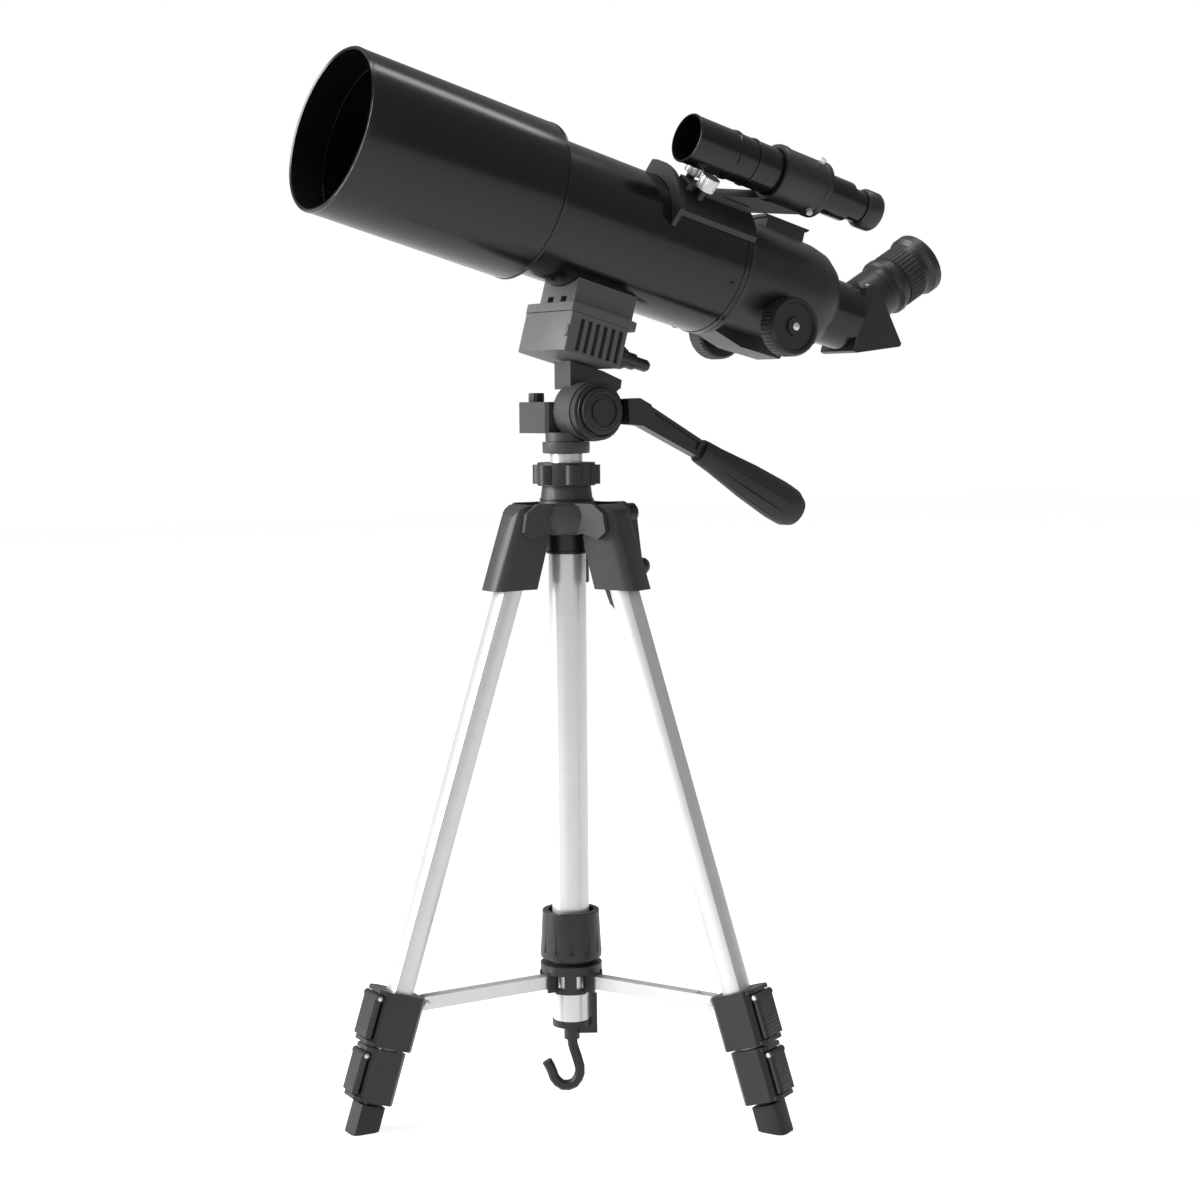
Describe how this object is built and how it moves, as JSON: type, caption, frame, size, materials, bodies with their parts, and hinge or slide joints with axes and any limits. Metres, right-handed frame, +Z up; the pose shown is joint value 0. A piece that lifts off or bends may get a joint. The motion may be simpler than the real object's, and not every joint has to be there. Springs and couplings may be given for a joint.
{
  "type": "telescope on tripod",
  "caption": "Refracting telescope with dew shield, finder, rack focuser, angled diagonal and eyepiece on a pan and tilt head over a small telescopic tripod with brace arms and a weight hook.",
  "frame": {"origin": "centre of the bounding box on X and Y, at the floor under the feet", "axes": "+Z up; the tube's upright plane is parallel to XZ with its front end towards -X and the eyepiece towards +X; +Y is to the right of the observer's view from the eyepiece end to the front"},
  "size_m": [0.4918, 0.2872, 0.6783],
  "materials": {
    "black_paint": "gloss black enamel",
    "black_plastic": "satin black moulding",
    "grey_plastic": "satin dark grey moulding",
    "light_plastic": "fine-grained dark grey moulding",
    "silver_metal": "satin anodised",
    "lens_glass": "coated",
    "black_rubber": "matt"
  },
  "bodies": {
    "tripod": {"shoulder": "grey_plastic", "column_guide": "silver_metal", "column_sleeve": "black_plastic", "column_plug": "black_plastic", "brace_hub": "black_plastic", "leg_1_cover": "grey_plastic", "leg_1_tube_upper": "silver_metal", "leg_1_lock_upper": "black_plastic", "brace_arm_1": "silver_metal", "leg_2_cover": "grey_plastic", "leg_2_tube_upper": "silver_metal", "leg_2_lock_upper": "black_plastic", "brace_arm_2": "silver_metal", "leg_3_cover": "grey_plastic", "leg_3_tube_upper": "silver_metal", "leg_3_lock_upper": "black_plastic", "brace_arm_3": "silver_metal"},
    "column_lock": {"column_lock_collar": "black_plastic"},
    "brace_lock": {"brace_collar": "black_plastic"},
    "hook": {"weight_hook": "black_plastic"},
    "crank": {"lift_crank": "black_plastic"},
    "lift": {"centre_column": "silver_metal", "pan_base": "grey_plastic"},
    "pan_head": {"head_body": "grey_plastic"},
    "telescope": {"tilt_bracket": "grey_plastic", "tilt_disc": "black_plastic", "handle_bar": "black_plastic", "handle_grip": "black_rubber", "platform": "light_plastic", "quick_plate": "light_plastic", "mount_block": "light_plastic", "main_tube": "black_paint", "dew_shield": "black_paint", "objective_cell": "black_paint", "objective_lens": "lens_glass", "focuser_body": "black_plastic", "finder_shoe": "grey_plastic", "finder_bracket": "black_plastic", "finder_tube": "black_paint"},
    "plate_lock": {"platform_lock": "black_plastic"},
    "drawtube": {"drawtube": "black_paint"},
    "knobs": {"focus_knobs": "black_plastic"},
    "diagonal": {"star_diagonal": "black_plastic"},
    "eyepiece": {"eyepiece": "black_plastic"},
    "finder_eye": {"finder_eyepiece": "black_plastic"},
    "leg_1_lever_a": {"leg_1_lever_upper": "black_plastic"},
    "leg_1_middle": {"leg_1_tube_middle": "silver_metal", "leg_1_lock_lower": "black_plastic"},
    "leg_1_lever_b": {"leg_1_lever_lower": "black_plastic"},
    "leg_1_lower": {"leg_1_foot_section": "black_rubber"},
    "leg_2_lever_a": {"leg_2_lever_upper": "black_plastic"},
    "leg_2_middle": {"leg_2_tube_middle": "silver_metal", "leg_2_lock_lower": "black_plastic"},
    "leg_2_lever_b": {"leg_2_lever_lower": "black_plastic"},
    "leg_2_lower": {"leg_2_foot_section": "black_rubber"},
    "leg_3_lever_a": {"leg_3_lever_upper": "black_plastic"},
    "leg_3_middle": {"leg_3_tube_middle": "silver_metal", "leg_3_lock_lower": "black_plastic"},
    "leg_3_lever_b": {"leg_3_lever_lower": "black_plastic"},
    "leg_3_lower": {"leg_3_foot_section": "black_rubber"}
  },
  "joints": [
    {"name": "column_lift", "type": "slide", "parent": "tripod", "child": "lift", "axis": [0, 0, 1], "range_m": [0, 0.2]},
    {"name": "crank_turn", "type": "hinge", "parent": "tripod", "child": "crank", "pos_m": [-0.02599, 0.00241, 0.3885], "axis": [0.9976, -0.0698, 0], "range_deg": [0, 1920]},
    {"name": "column_lock_turn", "type": "hinge", "parent": "tripod", "child": "column_lock", "pos_m": [-0.06589, 0.0052, 0.415], "axis": [0, 0, 1], "range_deg": [0, 120]},
    {"name": "brace_lock_turn", "type": "hinge", "parent": "tripod", "child": "brace_lock", "pos_m": [-0.06589, 0.0052, 0.11], "axis": [0, 0, 1], "range_deg": [0, 120]},
    {"name": "hook_swivel", "type": "hinge", "parent": "tripod", "child": "hook", "pos_m": [-0.06589, 0.0052, 0.044], "axis": [0, 0, 1], "continuous": true},
    {"name": "pan", "type": "hinge", "parent": "lift", "child": "pan_head", "pos_m": [-0.06589, 0.0052, 0.437], "axis": [0, 0, 1], "continuous": true},
    {"name": "tilt", "type": "hinge", "parent": "pan_head", "child": "telescope", "pos_m": [-0.05589, 0.0052, 0.456], "axis": [0, 1, 0], "range_deg": [-30, 30]},
    {"name": "plate_lock_turn", "type": "hinge", "parent": "telescope", "child": "plate_lock", "pos_m": [-0.01864, 0.0052, 0.49007], "axis": [0.9651, 0, -0.262], "range_deg": [0, 180]},
    {"name": "focus_travel", "type": "slide", "parent": "telescope", "child": "drawtube", "axis": [0.9651, 0, -0.262], "range_m": [0, 0.05]},
    {"name": "focus_knob_turn", "type": "hinge", "parent": "telescope", "child": "knobs", "pos_m": [0.08559, 0.0052, 0.5114], "axis": [0, 1, 0], "range_deg": [0, 450]},
    {"name": "diagonal_turn", "type": "hinge", "parent": "drawtube", "child": "diagonal", "pos_m": [0.1609, 0.0052, 0.52163], "axis": [0.9651, 0, -0.262], "continuous": true},
    {"name": "eyepiece_out", "type": "slide", "parent": "diagonal", "child": "eyepiece", "axis": [0.8677, 0, 0.4971], "range_m": [0, 0.009]},
    {"name": "finder_focus", "type": "hinge", "parent": "telescope", "child": "finder_eye", "pos_m": [0.14873, -0.03965, 0.5913], "axis": [0.9651, 0, -0.262], "range_deg": [0, 180]},
    {"name": "leg_1_lever_upper_flip", "type": "hinge", "parent": "tripod", "child": "leg_1_lever_a", "pos_m": [0.01386, 0.12343, 0.08661], "axis": [0.829, -0.5592, 0], "range_deg": [0, 80]},
    {"name": "leg_1_middle_slide", "type": "slide", "parent": "tripod", "child": "leg_1_middle", "axis": [0.1703, 0.2525, -0.9525], "range_m": [0, 0.2]},
    {"name": "leg_1_lever_lower_flip", "type": "hinge", "parent": "leg_1_middle", "child": "leg_1_lever_b", "pos_m": [0.01909, 0.13119, 0.05076], "axis": [0.829, -0.5592, 0], "range_deg": [0, 80]},
    {"name": "leg_1_lower_slide", "type": "slide", "parent": "leg_1_middle", "child": "leg_1_lower", "axis": [0.1703, 0.2525, -0.9525], "range_m": [0, 0.2]},
    {"name": "leg_2_lever_upper_flip", "type": "hinge", "parent": "tripod", "child": "leg_2_lever_a", "pos_m": [-0.20815, 0.01515, 0.08661], "axis": [0.0698, 0.9976, 0], "range_deg": [0, 80]},
    {"name": "leg_2_middle_slide", "type": "slide", "parent": "tripod", "child": "leg_2_middle", "axis": [-0.3038, 0.0212, -0.9525], "range_m": [0, 0.2]},
    {"name": "leg_2_lever_lower_flip", "type": "hinge", "parent": "leg_2_middle", "child": "leg_2_lever_b", "pos_m": [-0.21749, 0.0158, 0.05076], "axis": [0.0698, 0.9976, 0], "range_deg": [0, 80]},
    {"name": "leg_2_lower_slide", "type": "slide", "parent": "leg_2_middle", "child": "leg_2_lower", "axis": [-0.3038, 0.0212, -0.9525], "range_m": [0, 0.2]},
    {"name": "leg_3_lever_upper_flip", "type": "hinge", "parent": "tripod", "child": "leg_3_lever_a", "pos_m": [-0.00337, -0.12298, 0.08661], "axis": [-0.8988, -0.4384, 0], "range_deg": [0, 80]},
    {"name": "leg_3_middle_slide", "type": "slide", "parent": "tripod", "child": "leg_3_middle", "axis": [0.1335, -0.2737, -0.9525], "range_m": [0, 0.2]},
    {"name": "leg_3_lever_lower_flip", "type": "hinge", "parent": "leg_3_middle", "child": "leg_3_lever_b", "pos_m": [0.00073, -0.13139, 0.05076], "axis": [-0.8988, -0.4384, 0], "range_deg": [0, 80]},
    {"name": "leg_3_lower_slide", "type": "slide", "parent": "leg_3_middle", "child": "leg_3_lower", "axis": [0.1335, -0.2737, -0.9525], "range_m": [0, 0.2]}
  ],
  "couplings": [
    {"joint": "crank_turn", "follows": "column_lift", "rad_per_m": 166.67},
    {"joint": "focus_knob_turn", "follows": "focus_travel", "rad_per_m": 153.85}
  ]
}
